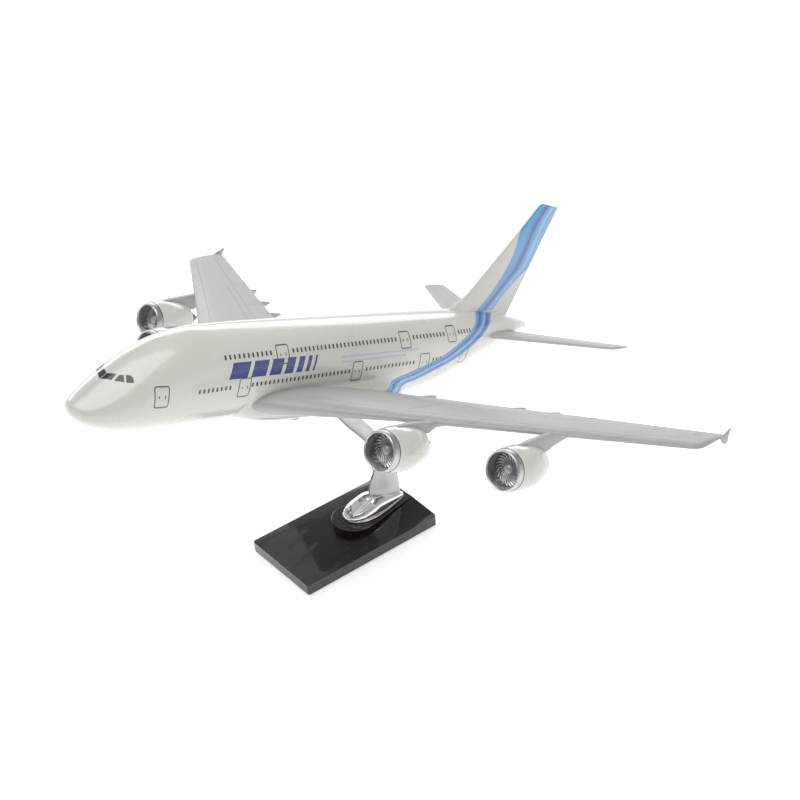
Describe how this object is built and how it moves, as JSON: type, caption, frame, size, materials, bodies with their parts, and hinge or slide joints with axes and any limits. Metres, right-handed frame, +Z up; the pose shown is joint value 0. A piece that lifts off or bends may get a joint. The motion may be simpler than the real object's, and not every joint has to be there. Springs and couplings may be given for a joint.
{
  "type": "desktop airliner model",
  "caption": "Desktop model of a double-deck jet airliner in climbing attitude, turning on the pin of a curved metal arm fixed to a dark lacquered wooden base.",
  "frame": {"origin": "centre of the flat underside of the felt that the wooden base stands on", "axes": "+Z up out of the desk; -Y towards the base's front edge, the way the nose roughly points; +X towards the port wing. At rest the aircraft is turned 10 degrees to port on its pin and pitched 22 degrees nose-up"},
  "size_m": [0.4832, 0.4596, 0.2331],
  "materials": {
    "white_paint": "glossy pearl white lacquer on moulded ABS",
    "grey_paint": "satin light grey lacquer on moulded ABS",
    "silver_paint": "satin silver lacquer on moulded ABS",
    "dark_metal": "vacuum-metallised dark plastic",
    "chrome": "mirror chrome on cast zinc",
    "satin_metal": "satin silver plate",
    "steel": "bright zinc-plated steel",
    "wood": "dark mahogany lacquer, glossy",
    "felt": "black self-adhesive felt"
  },
  "bodies": {
    "stand": {"base_felt": "felt", "base_board": "wood", "plinth": "wood", "stand_foot": "chrome", "stand_arm": "satin_metal", "foot_screw_front": "steel", "foot_screw_rear": "steel", "stand_pin": "steel"},
    "aircraft": {"fuselage_left": "white_paint", "fuselage_right": "white_paint", "pin_socket": "grey_paint", "belly_plug": "grey_paint", "fin": "white_paint", "wing_left": "grey_paint", "wing_right": "grey_paint", "wingtip_fence_left": "grey_paint", "wingtip_fence_right": "grey_paint", "tailplane_left": "grey_paint", "tailplane_right": "grey_paint", "cowl_1": "white_paint", "inlet_lip_1": "silver_paint", "engine_core_1": "dark_metal", "fan_shaft_1": "steel", "pylon_1": "grey_paint", "cowl_2": "white_paint", "inlet_lip_2": "silver_paint", "engine_core_2": "dark_metal", "fan_shaft_2": "steel", "pylon_2": "grey_paint", "cowl_3": "white_paint", "inlet_lip_3": "silver_paint", "engine_core_3": "dark_metal", "fan_shaft_3": "steel", "pylon_3": "grey_paint", "cowl_4": "white_paint", "inlet_lip_4": "silver_paint", "engine_core_4": "dark_metal", "fan_shaft_4": "steel", "pylon_4": "grey_paint"},
    "fan_1": {"fan_1": "silver_paint"},
    "fan_2": {"fan_2": "silver_paint"},
    "fan_3": {"fan_3": "silver_paint"},
    "fan_4": {"fan_4": "silver_paint"}
  },
  "joints": [
    {"name": "aircraft_swivel", "type": "hinge", "parent": "stand", "child": "aircraft", "pos_m": [0, 0.0095, 0.11], "axis": [0, 0, 1], "continuous": true},
    {"name": "fan_1_spin", "type": "hinge", "parent": "aircraft", "child": "fan_1", "pos_m": [0.16879, 0.01686, 0.13959], "axis": [0.161, -0.9131, 0.3746], "continuous": true},
    {"name": "fan_2_spin", "type": "hinge", "parent": "aircraft", "child": "fan_2", "pos_m": [0.11921, -0.03673, 0.15541], "axis": [0.161, -0.9131, 0.3746], "continuous": true},
    {"name": "fan_3_spin", "type": "hinge", "parent": "aircraft", "child": "fan_3", "pos_m": [-0.09621, -0.07471, 0.15541], "axis": [0.161, -0.9131, 0.3746], "continuous": true},
    {"name": "fan_4_spin", "type": "hinge", "parent": "aircraft", "child": "fan_4", "pos_m": [-0.16112, -0.04131, 0.13959], "axis": [0.161, -0.9131, 0.3746], "continuous": true}
  ]
}
